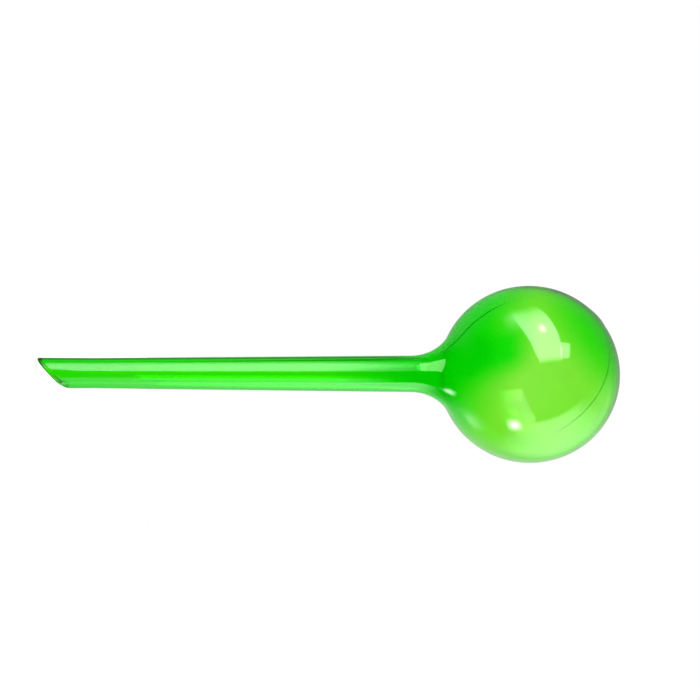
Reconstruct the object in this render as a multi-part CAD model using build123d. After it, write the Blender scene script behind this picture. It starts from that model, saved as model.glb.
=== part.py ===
from build123d import *

import os
from math import cos, radians, sin, sqrt, tan

# A watering globe, blow-moulded in one piece from clear green plastic: a hollow ball on a slender
# hollow stem, whose bevelled end is pushed into the soil of a pot. Z is the stem's axis, the point
# of the bevel lies at z = 0 on the -X side, and the ball is on top. Sizes are in millimetres and
# angles in degrees.

# Driving sizes
total_length = 130.0
globe_diameter = 41.4
globe_wall = 0.7
stem_wall = 0.9
spike_diameter = 6.45
spike_straight = 5.5  # plain round stretch between the bevel's heel and the start of the taper
stem_taper = 0.77  # slope of the stem's side from its axis
neck_radius = 12.0  # hollow of the flare between stem and ball
bevel_angle = 45.0  # between the cut and the stem's axis
seam_turn = 30.0  # of the mould's parting plane about the axis, from the bevel's plane of symmetry
seam_width = 0.35
seam_height = 0.15

# Places that follow from them
globe_radius = globe_diameter / 2
spike_radius = spike_diameter / 2
globe_centre = Vector(0, total_length - globe_radius)
bevel_height = spike_diameter / tan(radians(bevel_angle))
taper_start = bevel_height + spike_straight


def outline(offset_stem, offset_globe):
    """Half outline from the open end up to the crown, in radius and height, moved out by the offsets.

    The flare's arc touches the stem's slope and the ball, so its centre lies one flare radius off
    the slope, and one flare radius and one ball radius from the ball's centre.
    """
    tube = spike_radius + offset_stem
    ball = globe_radius + offset_globe
    flare = neck_radius - offset_stem
    slope = Vector(sin(radians(stem_taper)), cos(radians(stem_taper)))
    away = Vector(cos(radians(stem_taper)), -sin(radians(stem_taper)))
    shoulder = Vector(tube, taper_start)
    reach = shoulder + away * flare - globe_centre
    along = reach.dot(slope)
    rise = -along - sqrt(along**2 - reach.length**2 + (ball + flare) ** 2)
    neck_foot = shoulder + slope * rise
    flare_centre = neck_foot + away * flare
    neck_top = globe_centre + (flare_centre - globe_centre).normalized() * ball
    crown = globe_centre + Vector(0, ball)
    return {
        "open_end": Vector(tube, 0),
        "shoulder": shoulder,
        "neck_foot": neck_foot,
        "flare_middle": arc_middle(flare_centre, neck_foot, neck_top),
        "neck_top": neck_top,
        "globe_middle": arc_middle(globe_centre, neck_top, crown),
        "crown": crown,
    }


def arc_middle(centre, start, end):
    """Point half way along the shorter arc from start to end."""
    towards = (start - centre).normalized() + (end - centre).normalized()
    return centre + towards.normalized() * (start - centre).length


def outline_edges(points):
    return [
        Line(points["open_end"], points["shoulder"]),
        Line(points["shoulder"], points["neck_foot"]),
        ThreePointArc(points["neck_foot"], points["flare_middle"], points["neck_top"]),
        ThreePointArc(points["neck_top"], points["globe_middle"], points["crown"]),
    ]


def turned_wall(outside, inside):
    """Wall between two half outlines, turned about the axis."""
    end_ring = Line(outside["open_end"], inside["open_end"])
    crown_thickness = Line(outside["crown"], inside["crown"])
    edges = outline_edges(outside) + outline_edges(inside) + [end_ring, crown_thickness]
    return revolve(Plane.XZ * make_face(edges), Axis.Z)


def above(solid, height):
    return split(solid, bisect_by=Plane.XY.offset(height), keep=Keep.TOP)


def below(solid, height):
    return split(solid, bisect_by=Plane.XY.offset(height), keep=Keep.BOTTOM)


def moulded_wall(outside):
    """The whole hollow moulding, with its open end cut to a slanting point."""
    wall = turned_wall(outside, outline(-stem_wall, -globe_wall))
    rising = (-cos(radians(bevel_angle)), 0, sin(radians(bevel_angle)))
    cut = Plane(origin=(-spike_radius, 0, 0), z_dir=rising)
    return split(wall, bisect_by=cut, keep=Keep.TOP)


def seam_bead(outside):
    """Fine raised line that the closed mould leaves over the flare and round the ball.

    Its lower flanks are strips of a skin turned about the stem's axis. Its arch over the crown is a
    strip of a skin turned about the parting plane's normal, so that no pole lies on the strip.
    """
    across = 2 * (globe_diameter + seam_height)
    tall = 2 * (total_length + seam_height)
    slab = Rot(Z=seam_turn) * Box(across, seam_width, tall)
    stem_skin = turned_wall(outline(seam_height, seam_height), outside)
    flanks = above(stem_skin & slab, outside["neck_foot"].Y)
    ball_skin = Sphere(globe_radius + seam_height) - Sphere(globe_radius)
    arch = Pos(Z=globe_centre.Y) * Rot(Z=seam_turn) * Rot(X=90) * ball_skin & slab
    return below(flanks, globe_centre.Y) + above(arch, globe_centre.Y)


def sections():
    outside = outline(0, 0)
    neck_foot = outside["neck_foot"].Y
    neck_top = outside["neck_top"].Y
    wall = moulded_wall(outside)
    parting = Plane.XZ.rotated((0, 0, seam_turn))
    globe = above(wall, neck_top)
    return {
        "spike_tip": below(wall, taper_start),
        "stem_tube": below(above(wall, taper_start), neck_foot),
        "neck_flare": below(above(wall, neck_foot), neck_top),
        "globe_front_half": split(globe, bisect_by=parting, keep=Keep.TOP),
        "globe_rear_half": split(globe, bisect_by=parting, keep=Keep.BOTTOM),
        "mould_seam": seam_bead(outside),
    }


os.makedirs("parts", exist_ok=True)
for node, solid in sections().items():
    export_step(solid, f"parts/{node}.step")
    print(node, round(solid.volume, 2), "mm3")
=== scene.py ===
from math import cos, pi, radians, sin

import bpy
from mathutils import Matrix, Vector


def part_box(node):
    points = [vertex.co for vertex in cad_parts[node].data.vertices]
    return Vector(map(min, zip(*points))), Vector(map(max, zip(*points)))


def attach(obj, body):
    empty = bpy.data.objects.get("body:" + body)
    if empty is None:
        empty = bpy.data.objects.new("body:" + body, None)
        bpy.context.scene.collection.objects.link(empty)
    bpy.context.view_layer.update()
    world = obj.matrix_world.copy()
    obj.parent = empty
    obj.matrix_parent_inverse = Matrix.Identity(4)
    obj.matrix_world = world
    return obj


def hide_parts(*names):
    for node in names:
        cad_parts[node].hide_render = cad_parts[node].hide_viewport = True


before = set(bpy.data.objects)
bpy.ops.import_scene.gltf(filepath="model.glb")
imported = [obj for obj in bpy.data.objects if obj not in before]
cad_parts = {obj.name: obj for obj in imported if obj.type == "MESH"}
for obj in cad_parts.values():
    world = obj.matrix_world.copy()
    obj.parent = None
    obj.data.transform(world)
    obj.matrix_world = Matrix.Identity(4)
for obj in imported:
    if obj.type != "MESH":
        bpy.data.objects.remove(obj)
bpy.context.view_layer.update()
mm = 0.001
print("frame loaded:", len(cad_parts), "nodes")


def linearColour(hexCode):
    # sRGB hex to the linear values that Blender's sockets take
    channels = [int(hexCode[i:i + 2], 16) / 255 for i in (0, 2, 4)]
    return [c / 12.92 if c <= 0.04045 else ((c + 0.055) / 1.055) ** 2.4 for c in channels] + [1.0]


def addNode(tree, kind, inputs=(), **settings):
    # inputs go in order or by name: each is a value, a socket, or a node whose first output is meant
    node = tree.nodes.new(kind)
    for name, value in settings.items():
        setattr(node, name, value)
    for key, value in inputs.items() if isinstance(inputs, dict) else enumerate(inputs):
        if isinstance(value, bpy.types.Node):
            value = next(socket for socket in value.outputs if socket.enabled)
        if isinstance(value, bpy.types.NodeSocket):
            tree.links.new(value, node.inputs[key])
        else:
            node.inputs[key].default_value = value
    return node


smooth = {"interpolation_type": "SMOOTHSTEP"}  # lets a Map Range node ease from one end to the other


def emptyTree(owner):
    # the cleared node tree of a material, a world or a lamp
    owner.use_nodes = True
    owner.node_tree.nodes.clear()
    return owner.node_tree


def addObject(name, data):
    thing = bpy.data.objects.new(name, data)
    bpy.context.scene.collection.objects.link(thing)
    return thing


def wayFrom(start, end, value):
    # how far a value has come from start to end, as a share
    return min(max((value - start) / (end - start), 0.0), 1.0)


# Camera, at the photograph's view: the stem lies across the picture with the ball on the right
photo = {
    "side": 700,  # pixels
    "focal": 800,  # pixels
    "ballAt": (527.2, 374.1),  # pixel of the ball's centre
    "ballDepth": 188.1 * mm,  # of that centre, along the view
    "tilt": -11.0,  # degrees by which the ball's end leans away from the camera
    "roll": 0.45,  # degrees
    "sensor": 36.0,  # millimetres
    "nearest": 5 * mm,  # what lies nearer isn't drawn
}

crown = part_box("globe_front_half")[1].z
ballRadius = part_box("globe_front_half")[1].x
ballCentre = Vector((0, 0, crown - ballRadius))

tilt = radians(photo["tilt"])
roll = radians(photo["roll"])
acrossPicture = Vector((0, sin(tilt), cos(tilt)))  # before the roll
upPicture = Vector((-1, 0, 0))
viewBack = Vector((0, -cos(tilt), sin(tilt)))
viewRight = cos(roll) * acrossPicture + sin(roll) * upPicture
viewUp = viewBack.cross(viewRight)


def fromView(right, up, back):
    # a direction or offset given as the picture shows it, in the row's frame
    return right * viewRight + up * viewUp + back * viewBack


def makeCamera():
    half = photo["side"] / 2
    toRight = (photo["ballAt"][0] - half) / photo["focal"]
    toUp = (half - photo["ballAt"][1]) / photo["focal"]
    data = bpy.data.cameras.new("photoView")
    data.sensor_fit = "HORIZONTAL"
    data.sensor_width = photo["sensor"]
    data.lens = photo["sensor"] * photo["focal"] / photo["side"]
    data.clip_start = photo["nearest"]
    place = ballCentre - photo["ballDepth"] * fromView(toRight, toUp, -1)
    turn = Matrix((viewRight, viewUp, viewBack)).transposed().to_4x4()
    camera = addObject("photoView", data)
    camera.matrix_world = Matrix.Translation(place) @ turn
    bpy.context.scene.camera = camera


makeCamera()
print("camera set")

# Clear green PVC, blow-moulded: glossy, a faint waviness from the mould, and its green comes from
# how far the light runs through the wall, so edges look deeper. The wall was blown unevenly: it stayed
# deeper green about the neck, on the ball's neck side, in a streak that runs out from the neck, and a
# little on the far shoulder.
# The stem's parting line, the cut end and the seam bead are darkened with painted shade in the plastic's
# tint.
plastic = {
    "clear": "FBFBFB",  # what one skin lets through where the wall was blown thin
    "deep": "30EE4A",  # where it stayed thick
    "seam": "AAE2BE",  # where the mould's halves pinched it together: the bead there is real, and its greyer tint is painted shade along it
    "line": "2F6A38",  # painted shade along the parting line on the stem
    "cut": "064510",  # painted shade at the cut end
    "absorbed": "C3FC00",  # what a little of the wall itself lets through
    "density": 3750.0,  # of that colour, per metre
    "ior": 1.53,
    "rough": (0.01, 0.04),  # where the skin is clearest and haziest
    "hazeSize": 3 * mm,
    "hazeDetail": 3.0,
    "hazeRange": (0.35, 0.65),  # where most of a noise texture's values lie
    "waveSize": 7 * mm,
    "waveDetail": 1.0,
    "waveHeight": 0.02 * mm,
    "edgeOn": (0.3, 0.5),  # the painted shade of the line and the cut shows where the skin is seen this far edge-on
    "lineMiddle": 0.55 * mm,  # how far behind the parting plane the line lies
    "lineWidth": (0.35 * mm, 0.6 * mm),  # off its middle, where its side begins and ends
    "lineSide": (0.0, 1 * mm),  # off the axis, where the side of the stem that has it begins
    "lineTop": (76 * mm, 84 * mm),  # heights between which it fades out
    "cutDark": (0.0, 0.3),  # how near the cut its painted shade begins and is full, where 1 is the cut itself
    "cutMatt": (0.0, 0.6),  # and its matt finish
    "cutRough": 0.8,
    "heelFrom": (1.9 * mm, 2.8 * mm),  # the cut's heel keeps a share of the painted shade from every side
    "heelDark": 0.5,
    "neckDeep": (58 * mm, 86 * mm),  # heights between which the green deepens
    "sideWay": fromView(-0.92, 0.392, 0),  # the ball's neck side
    "sideDeep": (0.21, 0.86),  # how closely a place must face that way
    "shoulderWay": fromView(0.84, 0.54, 0),  # its far shoulder
    "shoulderDeep": (0.58, 1.0),
    "streakPole": fromView(-0.338, 0.941, 0),  # the streak runs round this direction
    "streakMiddle": 0.41,
    "streakFade": (0.06, 0.36),
    "streakEnd": (-0.41, -0.04),  # where it fades out towards the picture's right
}

partingTurn = radians(30)  # of the mould's parting plane about the axis
partingWay = Vector((cos(partingTurn), sin(partingTurn), 0))
partingNormal = Vector((sin(partingTurn), -cos(partingTurn), 0))


def deepPlaces(tree, place, height):
    # 0 where the wall was blown thin, 1 where it stayed thick: each place is laid over those before it
    arm = addNode(tree, "ShaderNodeVectorMath", (place, ballCentre), operation="SUBTRACT")
    way = addNode(tree, "ShaderNodeVectorMath", (arm,), operation="NORMALIZE")
    toSide, toShoulder, toPole, toRight = (
        addNode(tree, "ShaderNodeVectorMath", (way, direction), operation="DOT_PRODUCT")
        for direction in (plastic["sideWay"], plastic["shoulderWay"], plastic["streakPole"], viewRight)
    )
    offStreak = addNode(tree, "ShaderNodeMath", (toPole, plastic["streakMiddle"]), operation="SUBTRACT")
    beside = addNode(tree, "ShaderNodeMath", (offStreak,), operation="ABSOLUTE")
    deep = addNode(tree, "ShaderNodeMapRange", (toSide, *plastic["sideDeep"], 0.0, 1.0), **smooth)
    deep = addNode(tree, "ShaderNodeMapRange", (toShoulder, *plastic["shoulderDeep"], deep, 1.0), **smooth)
    streak = addNode(tree, "ShaderNodeMapRange", (toRight, *plastic["streakEnd"], 1.0, deep), **smooth)
    deep = addNode(tree, "ShaderNodeMapRange", (beside, *plastic["streakFade"], streak, deep), **smooth)
    return addNode(tree, "ShaderNodeMapRange", (height, *plastic["neckDeep"], 0.0, deep), **smooth)


def stemLineShade(tree, place, height, edgeOn):
    # painted shade along the parting line on the stem, where it is seen edge-on, along one side and up to
    # the neck
    offPlane = addNode(tree, "ShaderNodeVectorMath", (place, partingNormal), operation="DOT_PRODUCT")
    offLine = addNode(tree, "ShaderNodeMath", (offPlane, plastic["lineMiddle"]), operation="ADD")
    beside = addNode(tree, "ShaderNodeMath", (offLine,), operation="ABSOLUTE")
    sideways = addNode(tree, "ShaderNodeVectorMath", (place, -partingWay), operation="DOT_PRODUCT")
    shown = addNode(tree, "ShaderNodeMapRange", (height, *plastic["lineTop"], edgeOn, 0.0), **smooth)
    shown = addNode(tree, "ShaderNodeMapRange", (sideways, *plastic["lineSide"], 0.0, shown), **smooth)
    return addNode(tree, "ShaderNodeMapRange", (beside, *plastic["lineWidth"], shown, 0.0), **smooth)


def cutShade(tree, nearCut, across, edgeOn):
    # painted shade at the cut end, which its heel keeps where the rest is seen face-on
    heel = plastic["heelDark"]
    atHeel = addNode(tree, "ShaderNodeMapRange", (across, *plastic["heelFrom"], 0.0, heel), **smooth)
    shown = addNode(tree, "ShaderNodeMath", (edgeOn, atHeel), operation="MAXIMUM")
    return addNode(tree, "ShaderNodeMapRange", (nearCut, *plastic["cutDark"], 0.0, shown), **smooth)


def makePlastic(name, thinColour):
    material = bpy.data.materials.new(name)
    tree = emptyTree(material)
    place = addNode(tree, "ShaderNodeTexCoord").outputs["Object"]
    parts = addNode(tree, "ShaderNodeSeparateXYZ", (place,)).outputs
    nearCut = addNode(tree, "ShaderNodeAttribute", attribute_name="nearCut").outputs["Fac"]
    grazing = addNode(tree, "ShaderNodeLayerWeight").outputs["Facing"]
    edgeOn = addNode(tree, "ShaderNodeMapRange", (grazing, *plastic["edgeOn"], 0.0, 1.0), **smooth)
    shares = {
        "deep": deepPlaces(tree, place, parts["Z"]),
        "line": stemLineShade(tree, place, parts["Z"], edgeOn),
        "cut": cutShade(tree, nearCut, parts["X"], edgeOn),
    }
    # the thick wall's deeper green, with painted shade along the stem's parting line and at the cut laid
    # over it
    tintAndShade = linearColour(thinColour)
    for key, share in shares.items():
        tintAndShade = addNode(tree, "ShaderNodeMix", {
            "Factor": share,
            "A": tintAndShade,
            "B": linearColour(plastic[key]),
        }, data_type="RGBA")
    haze = addNode(tree, "ShaderNodeTexNoise", {
        "Vector": place,
        "Scale": 1 / plastic["hazeSize"],
        "Detail": plastic["hazeDetail"],
    })
    waves = addNode(tree, "ShaderNodeTexNoise", {
        "Vector": place,
        "Scale": 1 / plastic["waveSize"],
        "Detail": plastic["waveDetail"],
    })
    skin = addNode(tree, "ShaderNodeMapRange", (haze, *plastic["hazeRange"], *plastic["rough"]), **smooth)
    matt = plastic["cutRough"]
    rough = addNode(tree, "ShaderNodeMapRange", (nearCut, *plastic["cutMatt"], skin, matt), **smooth)
    bump = addNode(tree, "ShaderNodeBump", {"Height": waves, "Distance": plastic["waveHeight"]})
    shader = addNode(tree, "ShaderNodeBsdfPrincipled", {
        "Base Color": tintAndShade,
        "Roughness": rough,
        "IOR": plastic["ior"],
        "Transmission Weight": 1.0,
        "Normal": bump,
    })
    depth = addNode(tree, "ShaderNodeVolumeAbsorption", {
        "Color": linearColour(plastic["absorbed"]),
        "Density": plastic["density"],
    })
    addNode(tree, "ShaderNodeOutputMaterial", {"Surface": shader, "Volume": depth})
    return material


clearPlastic = makePlastic("clearGreenPvc", plastic["clear"])
seamPlastic = makePlastic("pinchedShadedGreenPvc", plastic["seam"])
print("plastic mixed")

# Outline of the wall in radius and height, read off the frame: spike, stem, flare and ball
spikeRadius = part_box("spike_tip")[1].x
shoulder = Vector((spikeRadius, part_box("spike_tip")[1].z))
neckFoot = Vector((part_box("stem_tube")[1].x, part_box("neck_flare")[0].z))
neckTop = Vector((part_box("neck_flare")[1].x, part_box("neck_flare")[1].z))
ballMiddle = Vector((0, ballCentre.z))
stemSide = (neckFoot - shoulder).normalized()
stemOut = Vector((stemSide.y, -stemSide.x))
neckOut = (neckTop - ballMiddle).normalized()
flareRadius = (neckTop - neckFoot).length / (stemOut - neckOut).length
flareMiddle = neckFoot + stemOut * flareRadius

wall = {
    "steps": {"ball": 72, "flare": 20, "stem": 26, "spike": 10, "rim": 8},  # points along the outline
    "turns": 160,  # faces round the axis
    "thickness": {  # by height: the stem is thick, the ball was blown thin
        0.0: 1.05 * mm,
        shoulder.y + 10 * mm: 0.95 * mm,
        neckFoot.y - 12 * mm: 0.95 * mm,
        neckTop.y + 10 * mm: 0.33 * mm,
        crown: 0.31 * mm,
    },
    "rimRound": 0.45 * mm,
    "pointRound": 0.5 * mm,
    "cutSlope": 0.88,  # rise of the slanting cut for each unit across
    "heelReach": 1.5 * mm,  # where the cut bends up towards its heel
    "heelTurn": 1.0,  # how much steeper it ends
    "cutDepth": 0.6 * mm,  # how far the cut's own look reaches up the wall
    "unevenness": 0.12 * mm,
    "unevenSize": 16 * mm,
    "seed": 3.0,
}
weldDistance = 0.002 * mm  # points nearer than this are one


def wallThickness(height):
    # eased from one height to the next
    heights = sorted(wall["thickness"])
    for low, high in zip(heights, heights[1:]):
        if height <= high:
            break
    share = wayFrom(low, high, height)
    step = share * share * (3 - 2 * share)
    return wall["thickness"][low] + (wall["thickness"][high] - wall["thickness"][low]) * step


def arcPoints(centre, start, end, steps):
    # points and outward directions along an arc, without its last point
    first = start - centre
    sweep = first.angle_signed(end - centre)
    for i in range(steps):
        arm = first.copy()
        arm.rotate(Matrix.Rotation(-sweep * i / steps, 2))
        yield centre + arm, arm.normalized()


def outerOutline():
    # from the crown down to the open end, each point with its outward direction
    steps = wall["steps"]
    points = list(arcPoints(ballMiddle, Vector((0, crown)), neckTop, steps["ball"]))
    points += [(p, -out) for p, out in arcPoints(flareMiddle, neckTop, neckFoot, steps["flare"])]
    stemRows = [neckFoot.lerp(shoulder, i / steps["stem"]) for i in range(steps["stem"])]
    points += [(p, stemOut) for p in stemRows]
    end = Vector((spikeRadius, wall["rimRound"]))
    spikeRows = [shoulder.lerp(end, i / steps["spike"]) for i in range(steps["spike"])]
    points += [(p, Vector((1, 0))) for p in spikeRows]
    return points


def wallProfile():
    # down the outside, round the rim and up the inside, each point with a mark that is 1 on the inside
    outside = outerOutline()
    inside = [p - out * wallThickness(p.y) for p, out in reversed(outside)]
    inside[-1].x = 0
    bore = inside[0].x
    radius = wall["rimRound"]
    rim = []
    for middle, quarter in ((spikeRadius - radius, 0), (bore + radius, 1)):
        for i in range(wall["steps"]["rim"] + 1):
            angle = -pi / 2 * (quarter + i / wall["steps"]["rim"])
            rim.append(Vector((middle + radius * cos(angle), radius + radius * sin(angle))))
    rows = [(p, 0.0) for p, out in outside]
    rows += [(p, 0.0) for p in rim]
    rows += [(p, 1.0) for p in inside]
    return rows


def pointMesh(name, points, **marks):
    # loose points that a tree reads one by one, with what it needs to know of each
    mesh = bpy.data.meshes.new(name)
    mesh.from_pydata([tuple(p) for p in points], [], [])
    for key, values in marks.items():
        if isinstance(values[0], float):
            mesh.attributes.new(key, "FLOAT", "POINT").data.foreach_set("value", values)
        else:
            parts = [part for value in values for part in value]
            mesh.attributes.new(key, "FLOAT_VECTOR", "POINT").data.foreach_set("vector", parts)
    return addObject(name, mesh)


def newTree(name, sizes):
    # a tree that takes points and the named sizes, each with its kind of socket
    tree = bpy.data.node_groups.new(name, "GeometryNodeTree")
    tree.interface.new_socket("Points", in_out="INPUT", socket_type="NodeSocketGeometry")
    for label, kind in sizes.items():
        tree.interface.new_socket(label, in_out="INPUT", socket_type="NodeSocket" + kind)
    tree.interface.new_socket("Result", in_out="OUTPUT", socket_type="NodeSocketGeometry")
    return tree, addNode(tree, "NodeGroupInput").outputs


def rowsAndTurns(tree, given, **marks):
    # a grid with a row for each of the points, the turn of its columns, and each row's place and marks
    total = addNode(tree, "GeometryNodeAttributeDomainSize", {"Geometry": given["Points"]})
    columns = addNode(tree, "FunctionNodeIntegerMath", (given["Around"], 1), operation="ADD")
    grid = addNode(tree, "GeometryNodeMeshGrid", {"Vertices X": columns, "Vertices Y": total})
    index = addNode(tree, "GeometryNodeInputIndex")
    row = addNode(tree, "FunctionNodeIntegerMath", (index, total), operation="MODULO")
    column = addNode(tree, "FunctionNodeIntegerMath", (index, total), operation="DIVIDE")
    share = addNode(tree, "ShaderNodeMath", (column, given["Around"]), operation="DIVIDE")
    angle = addNode(tree, "ShaderNodeMath", (share, 2 * pi), operation="MULTIPLY")
    sources = [(addNode(tree, "GeometryNodeInputPosition"), "FLOAT_VECTOR")]
    for key, kind in marks.items():
        mark = addNode(tree, "GeometryNodeInputNamedAttribute", {"Name": key}, data_type=kind)
        sources.append((mark, kind))
    values = [
        addNode(tree, "GeometryNodeSampleIndex", {
            "Geometry": given["Points"], "Value": source, "Index": row,
        }, data_type=kind)
        for source, kind in sources
    ]
    return grid, angle, values


def closed(tree, mesh):
    # joins the grid's edges and poles, and turns its faces outwards
    joined = addNode(tree, "GeometryNodeMergeByDistance", {"Geometry": mesh, "Distance": weldDistance})
    return addNode(tree, "GeometryNodeFlipFaces", (joined,))


def endTree(tree, mesh, material):
    soft = addNode(tree, "GeometryNodeSetShadeSmooth", {"Geometry": mesh})
    real = addNode(tree, "GeometryNodeRealizeInstances", {"Geometry": soft})
    done = addNode(tree, "GeometryNodeSetMaterial", {"Geometry": real, "Material": material})
    addNode(tree, "NodeGroupOutput", {"Result": done})


def treeToMesh(piece, tree, sizes):
    # runs a tree on its points and keeps the result as a plain mesh
    modifier = piece.modifiers.new(tree.name, "NODES")
    modifier.node_group = tree
    for item in tree.interface.items_tree:
        if item.name in sizes:
            modifier[item.identifier] = sizes[item.name]
    evaluated = piece.evaluated_get(bpy.context.evaluated_depsgraph_get())
    mesh = bpy.data.meshes.new_from_object(evaluated)
    mesh.name = piece.name
    mesh.materials.pop(index=0)  # the grid's own empty slot
    piece.modifiers.remove(modifier)
    piece.data = mesh


def wallTree():
    # turns the profile about the axis, makes its inside uneven and slants its open end
    tree, given = newTree("turnedWall", {
        "Around": "Int", "Straight": "Float", "Point": "Float", "Slope": "Float", "Rounding": "Float",
        "Heel": "Float", "Heel Turn": "Float", "Cut Depth": "Float",
        "Unevenness": "Float", "Uneven Scale": "Float", "Seed": "Float",
    })
    grid, angle, (profile, inside) = rowsAndTurns(tree, given, inside="FLOAT")
    turned = addNode(
        tree, "ShaderNodeVectorRotate", {"Vector": profile, "Angle": angle}, rotation_type="Z_AXIS",
    )
    mesh = addNode(tree, "GeometryNodeSetPosition", {"Geometry": grid, "Position": turned})
    mesh = addNode(tree, "GeometryNodeStoreNamedAttribute", {
        "Geometry": mesh, "Name": "inside", "Value": inside,
    })
    mesh = closed(tree, mesh)

    place = addNode(tree, "GeometryNodeInputPosition")
    noise = addNode(tree, "ShaderNodeTexNoise", {
        "Vector": place, "W": given["Seed"], "Scale": given["Uneven Scale"], "Detail": 0.0,
    }, noise_dimensions="4D")
    thicker = addNode(tree, "ShaderNodeMath", (noise, given["Unevenness"]), operation="MULTIPLY")
    mark = addNode(tree, "GeometryNodeInputNamedAttribute", {"Name": "inside"})
    depth = addNode(tree, "ShaderNodeMath", (thicker, mark), operation="MULTIPLY")
    normal = addNode(tree, "GeometryNodeInputNormal")
    push = addNode(tree, "ShaderNodeVectorMath", {0: normal, "Scale": depth}, operation="SCALE")
    mesh = addNode(tree, "GeometryNodeSetPosition", {"Geometry": mesh, "Offset": push})

    parts = addNode(tree, "ShaderNodeSeparateXYZ", (place,)).outputs
    nearCut = addNode(tree, "ShaderNodeMapRange", (parts["Z"], 0.0, given["Cut Depth"], 1.0, 0.0))
    mesh = addNode(tree, "GeometryNodeStoreNamedAttribute", {
        "Geometry": mesh, "Name": "nearCut", "Value": nearCut,
    })
    beyond = addNode(tree, "ShaderNodeMath", (parts["X"], given["Point"]), operation="ADD")
    rise = addNode(tree, "ShaderNodeMath", (beyond, given["Slope"]), operation="MULTIPLY")
    blunt = addNode(tree, "ShaderNodeMath", (rise, 0.0, given["Rounding"]), operation="SMOOTH_MAX")
    past = addNode(tree, "ShaderNodeMath", (parts["X"], given["Heel"]), operation="SUBTRACT")
    onHeel = addNode(tree, "ShaderNodeMath", (past, 0.0), operation="MAXIMUM")
    square = addNode(tree, "ShaderNodeMath", (onHeel, onHeel), operation="MULTIPLY")
    cut = addNode(tree, "ShaderNodeMath", (square, given["Heel Turn"], blunt), operation="MULTIPLY_ADD")
    fade = addNode(tree, "ShaderNodeMapRange", (parts["Z"], 0.0, given["Straight"], 1.0, 0.0))
    lift = addNode(tree, "ShaderNodeMath", (cut, fade), operation="MULTIPLY")
    lifted = addNode(tree, "ShaderNodeCombineXYZ", {"Z": lift})
    mesh = addNode(tree, "GeometryNodeSetPosition", {"Geometry": mesh, "Offset": lifted})
    endTree(tree, mesh, clearPlastic)
    return tree


def makeWall():
    rows = wallProfile()
    points = [(p.x, 0, p.y) for p, mark in rows]
    piece = pointMesh("mouldedWall", points, inside=[mark for p, mark in rows])
    treeToMesh(piece, wallTree(), {
        "Around": wall["turns"],
        "Straight": shoulder.y,
        "Point": spikeRadius,
        "Slope": wall["cutSlope"],
        "Rounding": 2 * wall["pointRound"],
        "Heel": spikeRadius - wall["heelReach"],
        "Heel Turn": wall["heelTurn"] / (2 * wall["heelReach"]),
        "Cut Depth": wall["cutDepth"],
        "Unevenness": wall["unevenness"],
        "Uneven Scale": 1 / wall["unevenSize"],
        "Seed": wall["seed"],
    })
    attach(piece, "root")
    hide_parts("spike_tip", "stem_tube", "neck_flare", "globe_front_half", "globe_rear_half")


makeWall()
print("wall turned")

# The fine line that the closed mould left: over the flare and round the ball, fading at the stem
seam = {
    "halfWidth": 0.2 * mm,
    "height": 0.13 * mm,
    "fade": 6 * mm,
    "around": 10,
    "faint": {  # by side of the axis: heights at which the bead starts to sink, is down, rises and is up
        -1: (97 * mm, 101 * mm, 118 * mm, 124 * mm),
        1: (88 * mm, 92 * mm, 118.5 * mm, 124.5 * mm),
    },
    "sunk": 0.05,  # share of the bead that is left between those heights
}


def seamTree():
    # wraps a low bead round the line of points
    tree, given = newTree("seamBead", {
        "Around": "Int", "Across": "Vector", "Half Width": "Float", "Height": "Float",
    })
    grid, angle, values = rowsAndTurns(tree, given, outward="FLOAT_VECTOR", fade="FLOAT")
    path, outward, fade = values
    arms = []
    for turn, size, way in (
        ("COSINE", given["Half Width"], given["Across"]),
        ("SINE", given["Height"], outward),
    ):
        share = addNode(tree, "ShaderNodeMath", (angle,), operation=turn)
        full = addNode(tree, "ShaderNodeMath", (share, size), operation="MULTIPLY")
        faded = addNode(tree, "ShaderNodeMath", (full, fade), operation="MULTIPLY")
        arms.append(addNode(tree, "ShaderNodeVectorMath", {0: way, "Scale": faded}, operation="SCALE"))
    section = addNode(tree, "ShaderNodeVectorMath", arms, operation="ADD")
    spot = addNode(tree, "ShaderNodeVectorMath", (path, section), operation="ADD")
    bead = addNode(tree, "GeometryNodeSetPosition", {"Geometry": grid, "Position": spot})
    endTree(tree, closed(tree, bead), seamPlastic)
    return tree


def seamShare(side, height):
    # how much of the bead stands at a place
    risen = wayFrom(neckFoot.y, neckFoot.y + seam["fade"], height)
    sink, down, rise, up = seam["faint"][side]
    missing = wayFrom(sink, down, height) - wayFrom(rise, up, height)
    return risen * (1.0 - (1.0 - seam["sunk"]) * missing)


def makeSeam():
    down = [(p, out) for p, out in outerOutline() if p.y >= neckFoot.y]
    line = [(-1, p, out) for p, out in reversed(down)] + [(1, p, out) for p, out in down[1:]]
    axis = Vector((0, 0, 1))
    points = [partingWay * (side * p.x) + axis * p.y for side, p, out in line]
    outward = [partingWay * (side * out.x) + axis * out.y for side, p, out in line]
    fades = [seamShare(side, p.y) for side, p, out in line]
    piece = pointMesh("mouldSeam", points, outward=outward, fade=fades)
    treeToMesh(piece, seamTree(), {
        "Around": seam["around"],
        "Across": partingWay.cross(axis),
        "Half Width": seam["halfWidth"],
        "Height": seam["height"],
    })
    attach(piece, "root")
    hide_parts("mould_seam")


makeSeam()
print("seam laid")

# Stage: a white floor under the point, a white surround, and soft lamps where the picture's
# reflections put them
stage = {
    "floorSize": 0.8,  # metres
    "floorDrop": 0.05 * mm,
    "floorColour": "C8C8C8",
    "floorGlow": 0.45,  # what the camera sees on top of that
    "surround": 1.0,
    "gloom": 0.012,  # what the dim room in front sends into reflections
    "gloomSpan": (-0.1, 0.9),  # from beside the object to behind it
    "behind": (0.75, 0.3),  # what comes from behind the object, low and high
    "behindSpan": (-0.6, 0.4),
    "dim": 0.52,  # what the room beside the backdrop sends through the plastic
    "dimWay": fromView(0.866, 0.5, 0),
    "dimSpan": (0.28, 0.40),
}


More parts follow.
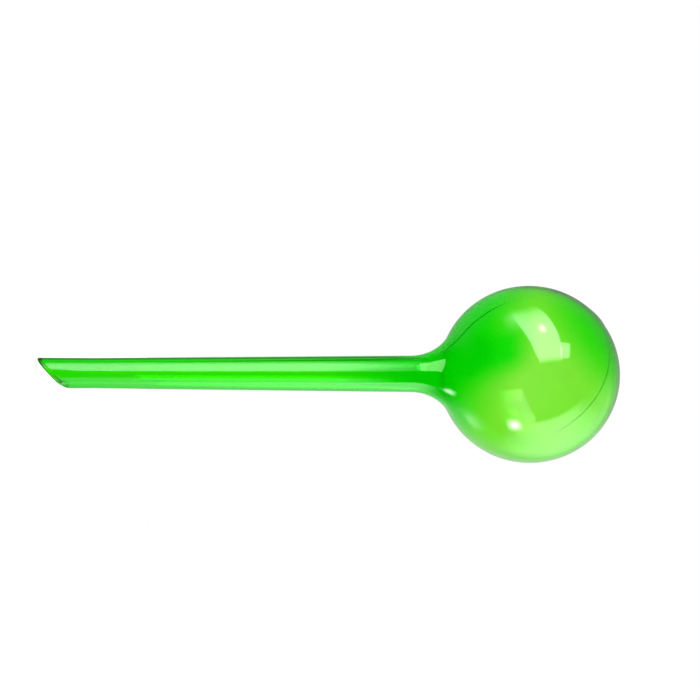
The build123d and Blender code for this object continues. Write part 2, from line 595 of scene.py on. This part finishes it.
def makeFloor():
    mesh = bpy.data.meshes.new("floor")
    reach = stage["floorSize"] / 2
    corners = [(-reach, -reach), (reach, -reach), (reach, reach), (-reach, reach)]
    mesh.from_pydata([(x, y, -stage["floorDrop"]) for x, y in corners], [], [(0, 1, 2, 3)])
    floor = addObject("floor", mesh)
    floor.visible_glossy = False  # reflections see the room instead
    material = bpy.data.materials.new("paleFloor")
    tree = emptyTree(material)
    path = addNode(tree, "ShaderNodeLightPath").outputs
    camera = path["Is Camera Ray"]
    seen = addNode(tree, "ShaderNodeMath", (camera, stage["floorGlow"]), operation="MULTIPLY")
    matt = addNode(tree, "ShaderNodeBsdfDiffuse", {"Color": linearColour(stage["floorColour"])})
    glow = addNode(tree, "ShaderNodeEmission", {"Strength": seen})
    lit = addNode(tree, "ShaderNodeAddShader", (matt, glow))
    white = addNode(tree, "ShaderNodeEmission", {"Strength": stage["surround"]})
    rays = (path["Is Transmission Ray"], path["Is Glossy Ray"])
    through = addNode(tree, "ShaderNodeMath", rays, operation="MAXIMUM")
    shown = addNode(tree, "ShaderNodeMixShader", (through, lit, white))
    addNode(tree, "ShaderNodeOutputMaterial", {"Surface": shown})
    mesh.materials.append(material)


def makeSurround():
    world = bpy.data.worlds.new("whiteSurround")
    bpy.context.scene.world = world
    tree = emptyTree(world)
    path = addNode(tree, "ShaderNodeLightPath").outputs
    towards = addNode(tree, "ShaderNodeTexCoord").outputs["Generated"]
    behind, above, aside = (
        addNode(tree, "ShaderNodeVectorMath", (towards, way), operation="DOT_PRODUCT")
        for way in (-viewBack, viewUp, stage["dimWay"])
    )
    pale = addNode(tree, "ShaderNodeMapRange", (above, *stage["behindSpan"], *stage["behind"]), **smooth)
    gloom = stage["gloom"]
    mirrored = addNode(tree, "ShaderNodeMapRange", (behind, *stage["gloomSpan"], gloom, pale), **smooth)
    levels = (stage["surround"], stage["dim"])
    room = addNode(tree, "ShaderNodeMapRange", (aside, *stage["dimSpan"], *levels), **smooth)
    passed = addNode(tree, "ShaderNodeMix", {
        "Factor": path["Is Transmission Ray"], "A": stage["surround"], "B": room,
    })
    # a refracted ray counts as glossy too, so it is taken out of the reflected ones
    rays = (path["Is Glossy Ray"], path["Is Transmission Ray"])
    reflected = addNode(tree, "ShaderNodeMath", rays, operation="SUBTRACT")
    strength = addNode(tree, "ShaderNodeMix", {"Factor": reflected, "A": passed, "B": mirrored})
    glow = addNode(tree, "ShaderNodeBackground", {"Color": linearColour("FFFFFF"), "Strength": strength})
    addNode(tree, "ShaderNodeOutputWorld", {"Surface": glow})


# each lamp: where it stands and how its sides run, as the picture shows it from the ball (right, up,
# towards the viewer) in lamp distances, its brightness where white is 1, and how much of it, in halves
# of its width or height, fades out towards its left, right, bottom and top. A grid on the lamp lets a
# share of its light reach places at so many millimetres from a point, which is the ball's middle or
# lies off it by so many millimetres.
lampDistance = 2.0  # metres
lampPower = 4.0  # watts for each square metre at a brightness of 1
allFading = (1, 1, 1, 1)
ballOnly = {0: 1.0, 16: 1.0, 19: 0.0}
neckOnly = {0: 1.0, 4: 1.0, 7: 0.0}
lamps = {
    "softbox": {  # the pale patch on the ball's upper front
        "middle": (0.101, 0.652, 0.418),
        "wide": (0.488, 0.029, -0.167),
        "tall": (-0.407, 0.795, -1.052),
        "level": 4.7,
        "fades": (0.12, 0.10, 0.30, 0.98),
        "grid": {0: 1.0, 3.5: 1.0, 5.5: 0.0},
        "point": (-3.2, 2.2, 13.3),
    },
    "rearBox": {  # its faint image in the ball's rear wall
        "middle": (0.112, 0.727, 0.390),
        "wide": (0.757, 0.0, -0.194),
        "tall": (-0.259, 0.741, -1.011),
        "level": 4.0,
        "fades": (0.2, 1.4, 0.12, 0.5),
        "grid": {0: 1.0, 40: 1.0, 45: 0.0},
        "point": (32.7, 19.9, -20.7),
    },
    "stemBox": {  # the light strip along the stem's upper side
        "middle": (0.122, 0.655, 0.450),
        "wide": (0.499, 0.0, -0.128),
        "tall": (-0.287, 0.823, -1.123),
        "level": 4.7,
        "fades": (0.12, 0.10, 0.30, 0.98),
        "grid": {
            0: 0.0, 27.8: 0.0, 28.3: 0.06, 30.5: 0.12, 34: 0.17, 37: 0.24,
            40: 0.33, 43: 0.44, 48: 0.56, 54: 0.73, 60: 0.8,
        },
    },
    "softboxCorner": {  # the patch's lower right corner
        "middle": (0.543, 0.426, 0.632),
        "wide": (0.227, 0.0, -0.058),
        "tall": (-0.074, 0.211, -0.288),
        "level": 4.2,
        "fades": (0.02, 0.55, 0.35, 0.3),
        "grid": {0: 1.0, 4: 1.0, 8: 0.0},
        "point": (-5.2, -2.3, 8.5),
    },
    "softboxShoulder": {  # its soft upper left edge
        "middle": (-0.235, 0.872, 0.140),
        "wide": (0.525, 0.0, -0.134),
        "tall": (-0.154, 0.442, -0.603),
        "level": 1.3,
        "fades": allFading,
        "grid": ballOnly,
    },
    "hotSpot": {  # the bright spot in it
        "middle": (0.131, 0.650, 0.371),
        "wide": (0.157, 0.0, -0.04),
        "tall": (-0.047, 0.136, -0.186),
        "level": 9.0,
        "fades": allFading,
        "grid": ballOnly,
    },
    "lowSpot": {  # the bright spot on the ball's lower front
        "middle": (-0.300, -0.897, 0.326),
        "wide": (0.287, -0.029, 0.189),
        "tall": (-0.106, 0.158, 0.346),
        "level": 16.0,
        "fades": allFading,
        "grid": ballOnly,
    },
    "lowBox": {  # the faint patch above that spot
        "middle": (-0.324, -0.587, 0.559),
        "wide": (0.419, 0.053, 0.341),
        "tall": (-0.416, 0.566, 0.369),
        "level": 1.4,
        "fades": (1.7, 0.1, 0.2, 0.1),
        "grid": {0: 1.0, 11: 1.0, 15: 0.0},
        "point": (-3.0, -7.0, 19.0),
    },
    "fill": {  # the pale lower edges of ball and stem
        "middle": (0.342, -0.894, -0.214),
        "wide": (1.944, 0.791, 0.0),
        "tall": (0.0, 0.0, 1.740),
        "level": 2.4,
        "fades": (0.92, 0.86, 1.58, 0.21),
        "grid": {0: 0.1, 14: 0.1, 17: 1.0, 60: 1.0},
        "point": (0.0, -14.6, -14.6),
    },
    "fillSide": {  # the pale edge's end, up the ball's right
        "middle": (1.754, -0.350, -0.220),
        "wide": (2.403, 0.977, 0.0),
        "tall": (0.0, 0.0, 1.792),
        "level": 0.5,
        "fades": (0.6, 1.95, 0.4, 0.9),
        "grid": {0: 1.0, 10: 1.0, 14: 0.0},
        "point": (18.0, -4.0, 8.0),
    },
    "stemFill": {  # the faint strip above the stem's lower edge
        "middle": (0.05, -0.65, 0.62),
        "wide": (1.5, 0.0, 0.0),
        "tall": (0.0, 0.62, 0.65),
        "level": 1.1,
        "fades": (0.7, 0.7, 1.0, 1.0),
        "grid": {0: 0.0, 34: 0.0, 48: 1.0, 110: 1.0},
    },
    "leftGlow": {  # the glow at the ball's lower left
        "middle": (-0.66, -0.63, -0.39),
        "wide": (0.35, -0.35, 0.0),
        "tall": (0.22, 0.22, 0.77),
        "level": 1.5,
        "fades": allFading,
        "grid": {0: 1.0, 3: 1.0, 6: 0.0},
        "point": (-12.9, -10.9, 12.0),
    },
    "neckBox": {  # the light patch on the neck
        "middle": (-0.149, 0.591, 0.642),
        "wide": (-0.78, -0.243, -0.14),
        "tall": (-0.217, 0.578, -0.636),
        "level": 5.0,
        "colour": "C4FFB3",
        "fades": (0.05, 0.1, 0.05, 0.1),
        "grid": neckOnly,
        "point": (-22.0, 2.1, 9.2),
    },
    "neckSpot": {  # the bright spot below that patch
        "middle": (-0.652, -0.73, 0.204),
        "wide": (-0.33, 0.20, -0.40),
        "tall": (0.08, -0.19, -0.40),
        "level": 9.0,
        "fades": allFading,
        "grid": neckOnly,
        "point": (-19.3, -3.6, 9.6),
    },
}


def gridShare(tree, place, spec):
    # what a lamp's grid lets through towards a place, by how far from its point that place lies
    point = ballCentre + mm * fromView(*spec.get("point", (0, 0, 0)))
    arm = addNode(tree, "ShaderNodeVectorMath", (point, place), operation="SUBTRACT")
    aim = addNode(tree, "ShaderNodeVectorMath", (arm,), operation="NORMALIZE")
    # facing is 1 less the cosine, so a small angle is the root of twice that
    turned = addNode(tree, "ShaderNodeLayerWeight", {"Normal": aim}).outputs["Facing"]
    twice = addNode(tree, "ShaderNodeMath", (turned, 2.0), operation="MULTIPLY")
    angle = addNode(tree, "ShaderNodeMath", (twice,), operation="SQRT")
    widest = max(spec["grid"])
    missed = addNode(tree, "ShaderNodeMath", (angle, lampDistance / (widest * mm)), operation="MULTIPLY")
    ramp = addNode(tree, "ShaderNodeValToRGB", (missed,))
    steps = ramp.color_ramp.elements
    for far, share in spec["grid"].items():
        step = steps[0] if far == 0 else steps[-1] if far == widest else steps.new(far / widest)
        step.color = (share, share, share, 1.0)
    return ramp


def lampLight(data, middle, halfWide, halfTall, spec):
    # a lamp's light, fading towards its sides and through its grid
    tree = emptyTree(data)
    place = addNode(tree, "ShaderNodeNewGeometry").outputs["Position"]
    arm = addNode(tree, "ShaderNodeVectorMath", (place, middle), operation="SUBTRACT")
    level = gridShare(tree, place, spec)
    for side, fade in zip((-halfWide, halfWide, -halfTall, halfTall), spec["fades"]):
        towards = side / side.length_squared
        share = addNode(tree, "ShaderNodeVectorMath", (arm, towards), operation="DOT_PRODUCT")
        level = addNode(tree, "ShaderNodeMapRange", (share, 1.0 - fade, 1.0, level, 0.0), **smooth)
    colour = linearColour(spec.get("colour", "FFFFFF"))
    emission = addNode(tree, "ShaderNodeEmission", {"Color": colour, "Strength": level})
    addNode(tree, "ShaderNodeOutputLight", {"Surface": emission})


def makeLamp(name, spec):
    middle = ballCentre + lampDistance * fromView(*spec["middle"])
    wide = lampDistance * fromView(*spec["wide"])
    tall = lampDistance * fromView(*spec["tall"])
    tall -= tall.project(wide)  # a lamp's corners are square
    data = bpy.data.lights.new(name, "AREA")
    data.shape = "RECTANGLE"
    data.size = wide.length
    data.size_y = tall.length
    data.energy = lampPower * spec["level"] * data.size * data.size_y
    lampLight(data, middle, wide / 2, tall / 2, spec)
    right = wide.normalized()
    back = right.cross(tall).normalized()
    if back.dot(middle - ballCentre) < 0:  # a lamp shines towards the ball
        back = -back
    turn = Matrix((right, back.cross(right), back)).transposed().to_4x4()
    lamp = addObject(name, data)
    lamp.matrix_world = Matrix.Translation(middle) @ turn
    lamp.visible_camera = False


makeFloor()
makeSurround()
for name, spec in lamps.items():
    makeLamp(name, spec)
print("stage lit")

bpy.context.scene.view_settings.view_transform = "Standard"
